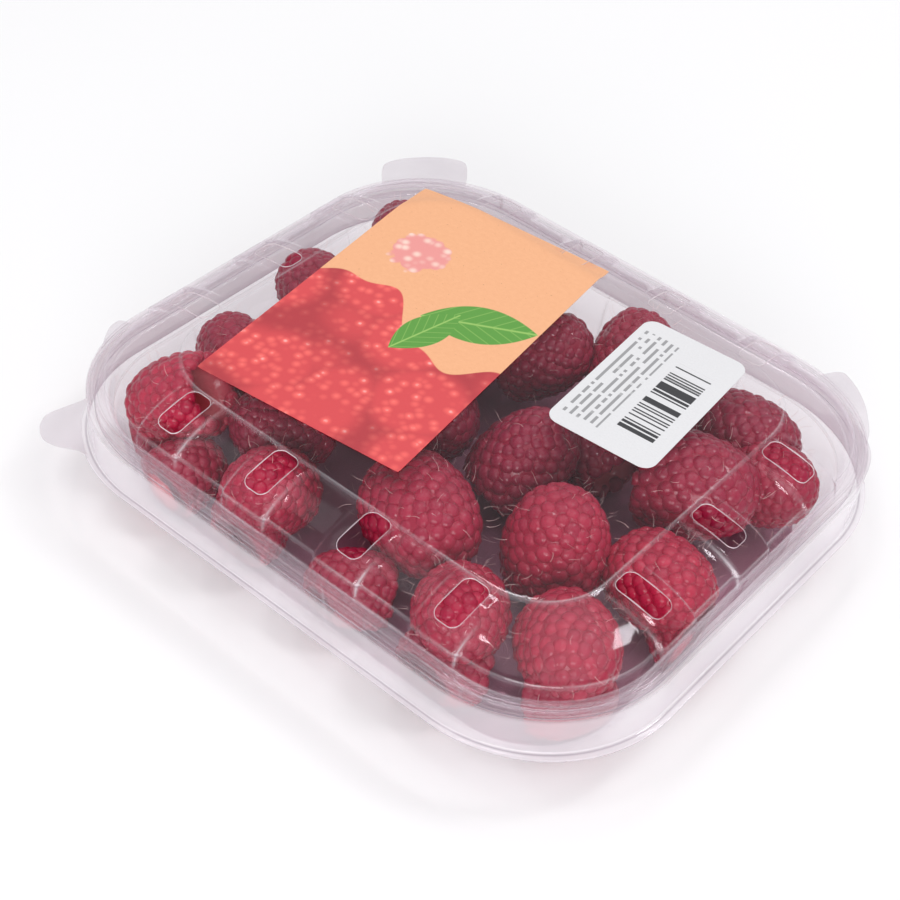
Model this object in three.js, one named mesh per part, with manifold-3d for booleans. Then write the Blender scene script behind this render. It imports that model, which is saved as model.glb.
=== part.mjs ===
import * as THREE from "three";
import Module from "manifold-3d";

const wasm = await Module();
wasm.setup();

// Pack sizes in millimetres, heights from the table up
const HEIGHT = 32;
const SHEET = 0.5;

// Vents: one row of slots along each side, each on its own raised bay
const LONG_SLOTS = [-36.3, -12.1, 12.1, 36.3];
const SHORT_SLOTS = [-25.4, 0, 25.4];
const BAY = { top: 4.6, foot: 6.2, rise: 0.8, reach: 1.3 };
const SLOT = { width: 6, round: 1.5, inset: 0.8, length: 10.8 };
const CORNER_STEPS = 7;

// Lid sheet, from the middle outwards: half sizes, corner radius, drop below the panel
const LID = [
  { a: 52.6, b: 44.4, r: 15.8, drop: 0 },
  { a: 53.6, b: 45.4, r: 16.8, drop: 0.3 },
  { a: 59.2, b: 50.4, r: 20, drop: 1.1, up: 0.7 },
  { a: 64.0, b: 54.8, r: 22.5, drop: 2.5, up: 1 },
  { a: 67.1, b: 57.4, r: 24, drop: 4.1, up: 0.8, out: 1 },
  { a: 67.9, b: 58.0, r: 24.5, drop: 5.1, up: 0.6, out: 0.8 },
  { a: 68.9, b: 58.5, r: 25, drop: 8.4 },
  { a: 69.5, b: 59.6, r: 26.5, drop: 8.7 },
  { a: 70.1, b: 60.8, r: 28.5, drop: 7.6 },
  { a: 70.5, b: 61.6, r: 29.5, drop: 8.0 },
  { a: 71.0, b: 62.6, r: 31, drop: 7.2 },
  { a: 71.5, b: 63.1, r: 31.4, drop: 8.0 },
  { a: 71.9, b: 63.0, r: 31.6, drop: 18.7 },
  { a: 72.3, b: 62.9, r: 31.6, drop: 19.2 },
  { a: 73.7, b: 64.2, r: 32.2, drop: 19.3 },
];

// Tray sheet, inner face from the middle outwards: the same sizes, heights from the table
const TRAY = [
  { a: 48.0, b: 39.0, r: 14, z: 1.5 },
  { a: 49.2, b: 40.2, r: 15, z: 0.5, flat: true },
  { a: 61.6, b: 51.6, r: 21.4, z: 0.5, flat: true },
  { a: 63.6, b: 53.6, r: 22.6, z: 2.2, out: -0.3 },
  { a: 65.8, b: 55.9, r: 24, z: 16.5, out: -0.4 },
  { a: 66.6, b: 56.9, r: 25, z: 18.2 },
  { a: 67.2, b: 57.6, r: 26, z: 21.8 },
  { a: 67.6, b: 58.2, r: 26.6, z: 22.6 },
  { a: 69.9, b: 61.0, r: 29.8, z: 22.6 },
  { a: 70.3, b: 61.5, r: 30.2, z: 22.0 },
  { a: 70.4, b: 61.6, r: 30.2, z: 20.4 },
];

// Ears at rim height, an ear and the opening tongue at flange height: corner signs, then the
// outline as angles in degrees with the reach past the plate's rounded corner
const RIM_EAR = { drop: 8.2, thick: 0.5, a: 71.5, b: 63.1, r: 31.4, bite: 0.3 };
const EARS = [
  { sx: -1, sy: 1, line: [[116, -0.1], [117.5, 5.5], [119, 9.0], [121, 10.0], [126, 10.4],
    [134, 10.0], [142, 9.4], [147, 8.5], [149.5, 7.2], [152, 3.5], [154, -0.1]] },
  { sx: 1, sy: 1, line: [[36, -0.1], [41, 0.9], [49, 1.8], [57, 3.1], [65, 4.2], [72, 4.9],
    [74, 5.0], [76, 3.8], [78, -0.1]] },
  { sx: -1, sy: -1, line: [[184, -0.1], [185.5, 1.9], [188, 2.1], [191, 2.0], [195, 1.2],
    [201, 0.1], [203, -0.1]] },
];
const FLANGE = { drop: 19.3, thick: 0.7, a: 73.7, b: 64.2, r: 32.2, bite: 1.2 };
const FLANGE_TABS = [
  { sx: -1, sy: -1, line: [[211, -0.5], [214, 0.8], [218, 3.8], [221, 6.4], [223, 7.6],
    [227, 8.3], [231, 8.2], [234, 7.3], [237, 5.1], [239, 2.7], [241, 0.7], [244, -0.5]] },
  { sx: 1, sy: 1, line: [[36, -0.5], [40, 0.5], [45, 2.1], [52, 3.9], [60, 5.0], [68, 5.0],
    [73, 4.0], [77, -0.5]] },
];

// Labels lying on the panel: centre, size, turn in degrees
const LABEL_THICK = 0.2;
const PICTURE_LABEL = { x: -23.2, y: 4.3, wide: 51, long: 85, turn: 6.4, round: 0.4 };
const PRICE_LABEL = { x: 27.3, y: 21.2, wide: 25.2, long: 42.2, turn: 4.4, round: 3 };

// Fruit: shown berries by place, centre height and the way the tip points
const FRUIT_FLOOR = 1.9;
const ROOM = [
  { a: 62.0, b: 52.0, r: 22, z: FRUIT_FLOOR },
  { a: 64.6, b: 54.8, r: 23.5, z: 16.5 },
  { a: 66.0, b: 56.4, r: 25, z: 21.8 },
  { a: 66.2, b: 56.6, r: 24, z: 26.4 },
  { a: 62.8, b: 53.6, r: 22, z: 28.2 },
  { a: 58.4, b: 49.6, r: 19.6, z: 29.6 },
  { a: 52.2, b: 44.0, r: 15.6, z: 30.8 },
];
const BERRY = { radius: 10.4, length: 21, sides: 9 };
const SHOWN = [
  { x: -52, y: -39, z: 16, turn: 205, tip: -35, size: 1.04 },
  { x: -54, y: -18, z: 15, turn: 160, tip: 10, size: 1 },
  { x: -32, y: -28, z: 15, turn: 250, tip: 20, size: 1 },
  { x: -19, y: -45, z: 16, turn: 280, tip: 35, size: 1 },
  { x: 7, y: -29, z: 16, turn: 330, tip: 15, size: 1.12 },
  { x: 31, y: -43, z: 16, turn: 300, tip: 30, size: 1.02 },
  { x: 31.5, y: -14, z: 14.6, turn: 0, tip: 88, size: 1.1 },
  { x: 12, y: 3, z: 15, turn: 60, tip: 50, size: 1.08 },
  { x: 51.5, y: -34, z: 15, turn: 320, tip: 25, size: 1.08 },
  { x: 43, y: 19, z: 17, turn: 20, tip: 5, size: 1.2 },
  { x: 55, y: -7, z: 15, turn: 340, tip: 20, size: 1.06 },
  { x: 37, y: 42, z: 13, turn: 90, tip: 30, size: 1 },
  { x: 53.5, y: 40, z: 16, turn: 60, tip: 40, size: 1 },
  { x: 9, y: 45, z: 17, turn: 110, tip: 35, size: 1 },
  { x: -55, y: 9, z: 18, turn: 180, tip: 20, size: 1 },
  { x: -53, y: 38, z: 18, turn: 150, tip: 20, size: 1 },
  { x: -6, y: 32, z: 16, turn: 30, tip: 30, size: 1.04 },
];
const HIDDEN = { rows: 5, columns: 6, stepX: 21, stepY: 19.5, keepOff: 16.5, seed: 41 };
const CORE = { a: 56, b: 46, r: 19, top: 9 };

const SLOT_ROUND_STEPS = 4;

// Seeded random draw between 0 and 1
function randomSource(seed) {
  let state = seed;
  return () => {
    state = (state * 16807) % 2147483647;
    return state / 2147483647;
  };
}

function bayStations(centres) {
  return centres.flatMap((c) => [
    [c - BAY.foot, 0],
    [c - BAY.top, 1],
    [c + BAY.top, 1],
    [c + BAY.foot, 0],
  ]);
}

const ALONG_X = bayStations(LONG_SLOTS);
const ALONG_Y = bayStations(SHORT_SLOTS);
const LAST_X = LONG_SLOTS[3] + BAY.foot;
const LAST_Y = SHORT_SLOTS[2] + BAY.foot;

// How far a rounded rectangle's edge stands off its middle line, at a place along the side
function edgeAt(along, halfAlong, halfAcross, radius) {
  const past = Math.abs(along) - (halfAlong - radius);
  if (past <= 0) return halfAcross;
  return halfAcross - radius + Math.sqrt(Math.max(radius * radius - past * past, 0));
}

// Points between the last bay and the next side, in the +x +y quarter, counter-clockwise
function cornerPoints({ a, b, r }) {
  const start = Math.asin(Math.min(Math.max((LAST_Y - (b - r)) / r, 0), 1));
  const end = Math.acos(Math.min(Math.max((LAST_X - (a - r)) / r, 0), 1));
  return Array.from({ length: CORNER_STEPS }, (_, k) => {
    const angle = start + ((end - start) * (k + 0.5)) / CORNER_STEPS;
    return [a - r + r * Math.cos(angle), b - r + r * Math.sin(angle)];
  });
}

// One level line of the sheet, with bays raised by up and pushed out by out
function levelRing(level) {
  const { a, b, r, z, up = 0, out = 0 } = level;
  const sideX = (sign) => ALONG_Y.map(([y, w]) =>
    [sign * (edgeAt(y, b, a, r) + w * out * BAY.reach), sign * y, z + w * up * BAY.rise]);
  const sideY = (sign) => ALONG_X.map(([x, w]) =>
    [-sign * x, sign * (edgeAt(x, a, b, r) + w * out * BAY.reach), z + w * up * BAY.rise]);
  const corner = cornerPoints(level);
  const flipped = [...corner].reverse();
  return [
    ...sideX(1),
    ...corner.map(([x, y]) => [x, y, z]),
    ...sideY(1),
    ...flipped.map(([x, y]) => [-x, y, z]),
    ...sideX(-1),
    ...corner.map(([x, y]) => [-x, -y, z]),
    ...sideY(-1),
    ...flipped.map(([x, y]) => [x, -y, z]),
  ];
}

// Slope of the sheet at one level, as a unit normal in the plane through the middle
function levelNormal(levels, index) {
  if (index === 0 || levels[index].flat) return [0, 1];
  const before = levels[Math.max(index - 1, 0)];
  const after = levels[Math.min(index + 1, levels.length - 1)];
  const outward = (after.a + after.b - before.a - before.b) / 2;
  const rise = after.z - before.z;
  const size = Math.hypot(outward, rise) || 1;
  return [-rise / size, outward / size];
}

function underside(levels) {
  return levels.map((level, index) => {
    const [nr, nz] = index === levels.length - 1
      ? lipNormal(levels)
      : levelNormal(levels, index);
    return {
      ...level,
      a: level.a - nr * SHEET,
      b: level.b - nr * SHEET,
      r: level.r - nr * SHEET,
      z: level.z - nz * SHEET,
    };
  });
}

function lipNormal(levels) {
  const [before, last] = levels.slice(-2);
  return levelNormal([before, last], 1);
}

// Closed sheet from level lines: top face out, lip, underside back
function sheetBody(levels) {
  const rings = [...levels.map(levelRing), ...underside(levels).reverse().map(levelRing)];
  const count = rings[0].length;
  const points = [[0, 0, rings[0][0][2]], ...rings.flat(), [0, 0, rings.at(-1)[0][2]]];
  const last = points.length - 1;
  const faces = [];
  for (let i = 0; i < count; i += 1) {
    const j = (i + 1) % count;
    faces.push([0, 1 + i, 1 + j]);
    faces.push([last, last - count + j, last - count + i]);
    for (let k = 0; k < rings.length - 1; k += 1) {
      const p = 1 + k * count;
      const q = p + count;
      faces.push([p + i, q + i, q + j], [p + i, q + j, p + j]);
    }
  }
  return solid(points, faces);
}

// Closed block from level lines, capped flat at both ends
function blockBody(levels) {
  const rings = levels.map(levelRing);
  const count = rings[0].length;
  const points = [[0, 0, rings[0][0][2]], ...rings.flat(), [0, 0, rings.at(-1)[0][2]]];
  const last = points.length - 1;
  const faces = [];
  for (let i = 0; i < count; i += 1) {
    const j = (i + 1) % count;
    faces.push([0, 1 + j, 1 + i], [last, last - count + i, last - count + j]);
    for (let k = 0; k < rings.length - 1; k += 1) {
      const p = 1 + k * count;
      const q = p + count;
      faces.push([p + i, q + j, q + i], [p + i, p + j, q + j]);
    }
  }
  return solid(points, faces);
}

function solid(points, faces) {
  return new wasm.Manifold(new wasm.Mesh({
    numProp: 3,
    vertProperties: Float32Array.from(points.flat()),
    triVerts: Uint32Array.from(faces.flat()),
  }));
}

// Upright prism over a flat outline, counter-clockwise seen from above
function prism(outline, low, high) {
  const count = outline.length;
  const points = [low, high].flatMap((z) => outline.map(([x, y]) => [x, y, z]));
  const flat = THREE.ShapeUtils.triangulateShape(
    outline.map(([x, y]) => new THREE.Vector2(x, y)), []);
  const faces = [];
  flat.forEach(([i, j, k]) => {
    faces.push([k, j, i], [i + count, j + count, k + count]);
  });
  outline.forEach((_, i) => {
    const j = (i + 1) % count;
    faces.push([i, j, j + count], [i, j + count, i + count]);
  });
  return solid(points, faces);
}

function roundedOutline(cx, cy, halfX, halfY, radius, steps, turn = 0) {
  const t = THREE.MathUtils.degToRad(turn);
  const corners = [[1, 1, 0], [-1, 1, 90], [-1, -1, 180], [1, -1, 270]];
  return corners.flatMap(([sx, sy, start]) =>
    Array.from({ length: steps + 1 }, (_, k) => {
      const angle = THREE.MathUtils.degToRad(start + (90 * k) / steps);
      const x = sx * (halfX - radius) + radius * Math.cos(angle);
      const y = sy * (halfY - radius) + radius * Math.sin(angle);
      return [cx + x * Math.cos(t) - y * Math.sin(t), cy + x * Math.sin(t) + y * Math.cos(t)];
    }));
}

function ventSlots() {
  const panel = LID[0];
  const across = SLOT.inset + SLOT.length / 2;
  const cut = (x, y, halfX, halfY) =>
    prism(roundedOutline(x, y, halfX, halfY, SLOT.round, SLOT_ROUND_STEPS), HEIGHT - 12, HEIGHT + 2);
  return [-1, 1].flatMap((sign) => [
    ...LONG_SLOTS.map((x) =>
      cut(x, sign * (panel.b + across), SLOT.width / 2, SLOT.length / 2)),
    ...SHORT_SLOTS.map((y) =>
      cut(sign * (panel.a + across + 0.6), y, SLOT.length / 2, SLOT.width / 2)),
  ]);
}

// Flat tab on a rounded corner, rooted in the plate by its bite
function cornerTab(plate, { sx, sy, line }) {
  const point = ([degrees, reach]) => {
    const angle = THREE.MathUtils.degToRad(degrees);
    const radius = plate.r + reach;
    return [sx * (plate.a - plate.r) + radius * Math.cos(angle),
      sy * (plate.b - plate.r) + radius * Math.sin(angle)];
  };
  const inner = line.map(([degrees]) => point([degrees, -plate.bite])).reverse();
  const top = HEIGHT - plate.drop;
  return prism([...line.map(point), ...inner], top - plate.thick, top);
}

function lidBody() {
  const levels = LID.map((level) => ({ ...level, z: HEIGHT - level.drop }));
  let body = sheetBody(levels);
  EARS.forEach((ear) => {
    body = body.add(cornerTab(RIM_EAR, ear));
  });
  FLANGE_TABS.forEach((tab) => {
    body = body.add(cornerTab(FLANGE, tab));
  });
  ventSlots().forEach((slot) => {
    body = body.subtract(slot);
  });
  return body;
}

// One berry with few sides: blunt open end, widest below the middle, round tip
function berryBody({ x, y, z, turn, tip, size }) {
  const profile = [[-0.5, 0.62], [-0.42, 0.9], [-0.12, 1], [0.2, 0.88], [0.42, 0.52]];
  const length = BERRY.length * size;
  const radius = BERRY.radius * size;
  const points = profile.flatMap(([along, wide]) =>
    Array.from({ length: BERRY.sides }, (_, k) => {
      const angle = (2 * Math.PI * k) / BERRY.sides;
      return new THREE.Vector3(
        radius * wide * Math.cos(angle), radius * wide * Math.sin(angle), length * along);
    }));
  points.push(new THREE.Vector3(0, 0, -length * 0.5), new THREE.Vector3(0, 0, length * 0.5));
  const aim = new THREE.Vector3(
    Math.cos(THREE.MathUtils.degToRad(turn)) * Math.cos(THREE.MathUtils.degToRad(tip)),
    Math.sin(THREE.MathUtils.degToRad(turn)) * Math.cos(THREE.MathUtils.degToRad(tip)),
    Math.sin(THREE.MathUtils.degToRad(tip)));
  const spin = new THREE.Quaternion().setFromUnitVectors(new THREE.Vector3(0, 0, 1), aim);
  points.forEach((p) => p.applyQuaternion(spin).add(new THREE.Vector3(x, y, z)));
  return solid(points.map((p) => [p.x, p.y, p.z]), berryFaces(profile.length));
}

function berryFaces(rows) {
  const n = BERRY.sides;
  const faces = [];
  for (let i = 0; i < n; i += 1) {
    const j = (i + 1) % n;
    faces.push([rows * n, j, i]);
    faces.push([rows * n + 1, (rows - 1) * n + i, (rows - 1) * n + j]);
    for (let k = 0; k < rows - 1; k += 1) {
      faces.push([k * n + i, k * n + j, k * n + n + j]);
      faces.push([k * n + i, k * n + n + j, k * n + n + i]);
    }
  }
  return faces;
}

// Berries under the labels: a staggered grid, kept off those already laid
function hiddenBerries() {
  const random = randomSource(HIDDEN.seed);
  const laid = [...SHOWN];
  for (let row = 0; row < HIDDEN.rows; row += 1) {
    for (let column = 0; column < HIDDEN.columns; column += 1) {
      const x = (column - (HIDDEN.columns - 1) / 2 + (row % 2) * 0.3) * HIDDEN.stepX;
      const y = (row - (HIDDEN.rows - 1) / 2) * HIDDEN.stepY;
      const berry = {
        x, y, z: 12 + 2 * random(), turn: 360 * random(), tip: 60 * random(), size: 0.98,
      };
      const clear = laid.every((b) => Math.hypot(b.x - x, b.y - y) > HIDDEN.keepOff);
      const inside = Math.abs(x) < 56 && Math.abs(y) < 44;
      if (clear && inside) laid.push(berry);
    }
  }
  return laid.slice(SHOWN.length);
}

function fruitBody() {
  const outline = roundedOutline(0, 0, CORE.a, CORE.b, CORE.r, 5);
  let heap = prism(outline, FRUIT_FLOOR, CORE.top);
  [...SHOWN, ...hiddenBerries()].forEach((berry) => {
    heap = heap.add(berryBody(berry));
  });
  heap = heap.intersect(blockBody(ROOM));
  const parts = heap.decompose();
  return parts.reduce((best, part) => (part.volume() > best.volume() ? part : best));
}

function labelBody({ x, y, wide, long, turn, round }, steps) {
  const outline = roundedOutline(x, y, wide / 2, long / 2, round, steps, turn);
  return prism(outline, HEIGHT + 0.05, HEIGHT + 0.05 + LABEL_THICK);
}

function namedMesh(name, body, color, roughness, opacity = 1) {
  const data = body.getMesh();
  const geometry = new THREE.BufferGeometry();
  const positions = new Float32Array(data.numVert * 3);
  for (let i = 0; i < data.numVert; i += 1) {
    for (let c = 0; c < 3; c += 1) {
      positions[3 * i + c] = data.vertProperties[data.numProp * i + c];
    }
  }
  geometry.setAttribute("position", new THREE.BufferAttribute(positions, 3));
  geometry.setIndex(new THREE.BufferAttribute(new Uint32Array(data.triVerts), 1));
  geometry.computeVertexNormals();
  const material = new THREE.MeshStandardMaterial({
    color, roughness, opacity, transparent: opacity < 1,
  });
  const mesh = new THREE.Mesh(geometry, material);
  mesh.name = name;
  return mesh;
}

const punnet = new THREE.Group();
punnet.name = "raspberry_punnet";
punnet.add(
  namedMesh("tray", sheetBody(TRAY), "#dcd5da", 0.12, 0.35),
  namedMesh("lid", lidBody(), "#dcd5da", 0.1, 0.35),
  namedMesh("raspberries", fruitBody(), "#a3303f", 0.55),
  namedMesh("picture_label", labelBody(PICTURE_LABEL, 2), "#e8a878", 0.7),
  namedMesh("price_label", labelBody(PRICE_LABEL, 5), "#f4f4f2", 0.6),
);

// An ear reaches past the flange, so the pack moves to stand centred on its whole outline
const outline = new THREE.Box3().setFromObject(punnet);
const middle = outline.getCenter(new THREE.Vector3());
punnet.children.forEach((mesh) => mesh.geometry.translate(-middle.x, -middle.y, 0));

export default punnet;
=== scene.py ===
import math
import random

import bmesh
import bpy
import numpy as np
from mathutils import Matrix, Vector
from mathutils.bvhtree import BVHTree


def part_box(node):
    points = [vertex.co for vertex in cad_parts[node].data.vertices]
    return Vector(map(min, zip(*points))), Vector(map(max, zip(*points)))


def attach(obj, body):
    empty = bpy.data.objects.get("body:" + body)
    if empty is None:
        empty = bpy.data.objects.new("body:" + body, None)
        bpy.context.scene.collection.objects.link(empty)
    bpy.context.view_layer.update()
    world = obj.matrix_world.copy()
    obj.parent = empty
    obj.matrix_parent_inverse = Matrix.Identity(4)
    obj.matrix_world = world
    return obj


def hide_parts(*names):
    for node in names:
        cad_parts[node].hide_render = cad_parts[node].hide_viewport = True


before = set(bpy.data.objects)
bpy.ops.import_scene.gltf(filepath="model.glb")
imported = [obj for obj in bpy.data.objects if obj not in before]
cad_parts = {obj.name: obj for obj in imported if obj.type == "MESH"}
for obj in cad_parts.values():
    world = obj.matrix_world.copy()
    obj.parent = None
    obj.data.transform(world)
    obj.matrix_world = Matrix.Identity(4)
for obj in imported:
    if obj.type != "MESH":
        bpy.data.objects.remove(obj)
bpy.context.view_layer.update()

MM = 0.001

# Pack, in millimetres from the middle of the tray's foot
PANEL_HEIGHT = 32.0
FLANGE_HALF_Y = 64.2
SHIFT_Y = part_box("lid")[0][1] / MM + FLANGE_HALF_Y
SHEET = 0.2

# Lid line from the panel outwards: half sizes, corner radius, drop, bay lift, bay reach, crease
LID_LINE = [
    (52.2, 44.0, 15.4, 0.0, 0, 0, 0),
    (53.0, 44.8, 16.2, 0.05, 0, 0, 1),
    (54.0, 45.8, 17.0, 0.5, 0.1, 0, 0),
    (59.2, 50.4, 20.0, 1.2, 0.8, 0, 0),
    (63.6, 54.4, 22.3, 2.6, 1.0, 0.2, 0),
    (66.3, 56.7, 23.5, 4.1, 0.9, 0.8, 0),
    (67.5, 57.7, 24.3, 5.1, 0.6, 1.0, 1),
    (67.9, 58.0, 24.6, 5.9, 0.3, 0.9, 0),
    (68.7, 58.4, 25.0, 8.1, 0, 0.6, 0),
    (68.9, 58.6, 25.2, 8.6, 0, 0.2, 1),
    (69.5, 59.6, 26.5, 8.7, 0, 0, 0),
    (69.8, 60.2, 27.3, 7.7, 0, 0, 1),
    (70.2, 61.0, 28.6, 7.6, 0, 0, 0),
    (70.4, 61.4, 29.2, 8.3, 0, 0, 1),
    (70.8, 62.1, 30.2, 8.2, 0, 0, 0),
    (71.0, 62.6, 30.8, 7.2, 0, 0, 1),
    (71.5, 63.1, 31.4, 7.5, 0, 0, 0),
    (71.7, 63.2, 31.5, 8.6, 0, 0, 1),
    (71.8, 63.1, 31.5, 12.0, 0, 0, 0),
    (71.9, 63.0, 31.6, 18.3, 0, 0, 0),
    (72.0, 62.9, 31.6, 19.1, 0, 0, 1),
    (72.8, 63.4, 31.9, 19.3, 0, 0, 0),
    (73.7, 64.2, 32.2, 19.3, 0, 0, 1),
]
# Tray line, inner face from the middle outwards: the same columns, with a height for the drop
TRAY_LINE = [
    (47.6, 38.6, 13.6, 1.5, 0, 0, 0),
    (48.6, 39.6, 14.4, 1.2, 0, 0, 1),
    (49.6, 40.6, 15.4, 0.2, 0, 0, 1),
    (56.0, 46.0, 18.0, 0.2, 0, 0, 0),
    (61.4, 51.4, 21.2, 0.2, 0, 0, 0),
    (63.0, 53.0, 22.2, 1.1, 0, -0.2, 1),
    (63.9, 53.9, 22.8, 3.0, 0, -0.4, 0),
    (64.9, 54.9, 23.4, 10.0, 0, -0.5, 0),
    (65.8, 55.9, 24.0, 16.5, 0, -0.4, 0),
    (66.5, 56.8, 24.8, 17.7, 0, -0.1, 1),
    (66.9, 57.2, 25.4, 20.0, 0, 0, 0),
    (67.2, 57.6, 26.0, 22.0, 0, 0, 0),
    (67.7, 58.3, 26.6, 22.6, 0, 0, 1),
    (69.8, 60.9, 29.7, 22.6, 0, 0, 0),
    (70.2, 61.4, 30.1, 22.0, 0, 0, 1),
    (70.3, 61.5, 30.2, 20.5, 0, 0, 0),
]
BAY_X = [-36.3, -12.1, 12.1, 36.3]
BAY_Y = [-25.4, 0.0, 25.4]
BAY_TOP, BAY_FOOT, BAY_LIFT, BAY_REACH = 4.8, 6.3, 0.8, 1.3
STATION_STEP, STATION_LEAST, CORNER_STEPS = 1.6, 0.22, 26
VENT_WIDTH, VENT_LENGTH, VENT_ROUND, VENT_INSET = 6.0, 10.8, 1.9, 0.8
PANEL_EDGE_X, PANEL_EDGE_Y = 53.2, 44.4
VENT_RIM, VENT_RIM_SIDES, VENT_ROUND_STEPS = 0.06, 6, 6
VENT_CUT_LOW, VENT_CUT_HIGH = PANEL_HEIGHT - 12, PANEL_HEIGHT + 3
TRAY_FOOT = 61.0

# Clear sheet: its finishes in material order, tints, gloss, and the strength of what shows on it
EDGE_FACE, UNDER_FACE, FLOOR_FACE = 1, 2, 3
# The second tint, darker than the clear one, is painted shade on the tabs and the sheet's outer
# edge
CLEAR_TINT, SHADED_SHEET_TINT = (0.992, 0.982, 0.989), (0.957, 0.94, 0.953)
# The floor tint is painted shade on the tray's floor; the grey colours the painted shade lines on
# creases
FLOOR_SHADE_TINT, SHEET_WHITE, CREASE_SHADE_GREY = (0.82, 0.67, 0.73), (0.9, 0.86, 0.91), (0.3, 0.26, 0.31)
SHEET_GLOSS, GRAZING_GLOSS = 0.021, 0.55
SKIRT_TOP, SKIRT_FADE = 23.5, 2.5
# Strengths of the painted highlight lines on creases, of the painted shade lines just past them,
# and of the painted highlights on the bay flanks
CREASE_HIGHLIGHT_LEAST, CREASE_HIGHLIGHT_VARY, CREASE_SHADE_STRENGTH, FLANK_HIGHLIGHT = 0.1, 0.2, 0.2, 0.5
# Painted crease lines: longest way along a sheet's line, half width, how far the painted shade
# line lies past the painted highlight line
LINE_RANGE, LINE_HALF, SHADE_LINE_SHIFT = 44.0, 0.3, 0.45
SHARP_ANGLE = math.radians(38)

# Flat plates with tabs on their corners; each tab: corner signs, then its outline as angles
# with the reach past the plate's rounded corner
RIM_PLATE = dict(a=71.5, b=63.1, r=31.4, drop=8.2, bite=0.2, thick=0.3)
EARS = [
    (-1, 1, [(116, -0.1), (117.5, 5.5), (119, 9.0), (121, 10.0), (126, 10.4), (134, 10.0),
             (142, 9.4), (147, 8.5), (149.5, 7.2), (152, 3.5), (154, -0.1)]),
    (1, 1, [(36, -0.1), (41, 0.9), (49, 1.8), (57, 3.1), (65, 4.2), (72, 4.9), (74, 5.0),
            (76, 3.8), (78, -0.1)]),
    (-1, -1, [(184, -0.1), (185.5, 1.9), (188, 2.1), (191, 2.0), (195, 1.2), (201, 0.1),
              (203, -0.1)]),
]
FLANGE_PLATE = dict(a=73.7, b=64.2, r=32.2, drop=19.27, bite=0.5, thick=0.26)
FLANGE_TABS = [
    (-1, -1, [(211, -0.3), (214, 0.8), (218, 3.8), (221, 6.4), (223, 7.6), (227, 8.3),
              (231, 8.2), (234, 7.3), (237, 5.1), (239, 2.7), (241, 0.7), (244, -0.3)]),
    (1, 1, [(36, -0.3), (40, 0.5), (45, 2.1), (52, 3.9), (60, 5.0), (68, 5.0), (73, 4.0),
            (77, -0.3)]),
]

# Labels on the panel: centre, width, length, turn in degrees, corner radius
PICTURE_LABEL = dict(x=-23.6, y=4.6, wide=50.2, long=84.4, turn=6.8, radius=0.4)
PRICE_LABEL = dict(x=27.3, y=21.2, wide=25.2, long=42.2, turn=4.4, radius=3.0)
LABEL_LIFT, LABEL_THICK = 0.06, 0.1
PICTURE_STEP, PRICE_STEP = 1.2, 0.6
# Picture print, across and along its label: pale spot, and leaf blades with length, width, turn
SPOT_ACROSS, SPOT_ALONG, SPOT_REACH = -11.0, 19.0, 8.8
LEAF_BLADES = [(13, 6, 13, 6.4, 24), (5, -3, 10, 4.6, 72)]
# Price print: middle and half size of the block of bars and of the rows of dashes
BARS_ACROSS, BARS_ALONG, BARS_WIDE, BARS_LONG = 4.5, -1.0, 4.4, 13.2
ROWS_ACROSS, ROWS_WIDE, ROWS_LONG = -6.6, 4.4, 17.0
ROWS_PER_MM, DASHES_PER_MM, BARS_PER_MM = 0.62, 1.15, 2.4

# Colours, dark and light where there are two
JUICE, RIPE_JUICE = ((0.33, 0.006, 0.032), (0.5, 0.013, 0.047)), (0.2, 0.004, 0.03)
# The crevice colour is painted shade between the drupelets
BLOOM, PAINTED_CREVICE_SHADE = (0.62, 0.07, 0.17), (0.32, 0.005, 0.03)
HOLLOW = (0.62, 0.05, 0.09), (0.74, 0.2, 0.22)
HAIR = (0.7, 0.4, 0.38), (0.92, 0.76, 0.74)
BROWN_PAPER, FLECK = ((0.84, 0.4, 0.2), (0.95, 0.5, 0.27)), (0.4, 0.16, 0.07)
RED_CELL = (0.7, 0.06, 0.07), (0.98, 0.15, 0.13)
CELL_LIGHT, CELL_SHADE = (1.0, 0.68, 0.66), (0.36, 0.016, 0.03)
PALE_CELL = (0.85, 0.32, 0.3), (0.98, 0.72, 0.62)
LEAF_GREEN = (0.1, 0.33, 0.04), (0.3, 0.55, 0.12)
WHITE_PAPER, INK = ((0.73, 0.73, 0.75), (0.8, 0.8, 0.82)), (0.03, 0.03, 0.035)
STUDIO_FLOOR = (0.93, 0.93, 0.94), (0.95, 0.95, 0.96)

# Fruit: place and height of the middle, heading and tilt of the tip, size, ripeness
BERRY_RADIUS, BERRY_LENGTH = 9.6, 20.4
SHOWN_BERRIES = [
    (-52, -39, 16, 205, -35, 1.04, 0),
    (-54, -18, 15, 160, 10, 1.0, 0.7),
    (-32, -28, 15, 250, 20, 1.0, 1),
    (-19, -45, 16, 280, 35, 1.0, 0.3),
    (9.5, -28, 16, 335, 12, 1.24, 0.5),
    (31, -43, 16, 300, 30, 1.02, 0.3),
    (32.2, -13.5, 16.6, 0, 88, 1.16, 0.3),
    (12, 3, 15, 60, 50, 1.08, 1),
    (51.5, -34, 15, 320, 25, 1.08, 0.1),
    (44.5, 19.5, 17, 20, 5, 1.2, 0.8),
    (55, -7, 15, 340, 20, 1.06, 0),
    (43, 41.5, 14.5, 5, 12, 1.1, 1),
    (54.5, 33.5, 15, 340, 30, 0.98, 0.6),
    (9, 45, 17, 110, 35, 1.0, 0.7),
    (-55, 9, 18, 180, 20, 1.0, 0.8),
    (-53, 38, 18, 150, 20, 1.0, 0.8),
    (-6, 32, 16, 30, 30, 1.04, 1),
]
# Berries on the tray's floor by the front and the right wall, under the shown ones
LOW_BERRIES = [(-56, -41), (-40, -47), (-19, -49), (6, -47), (32, -49), (56, -38), (61, -8)]
LOW_HEIGHT, LOW_TILT, LOW_SIZE, LOW_RIPE = 8.6, 12, 0.84, 0.6
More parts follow.
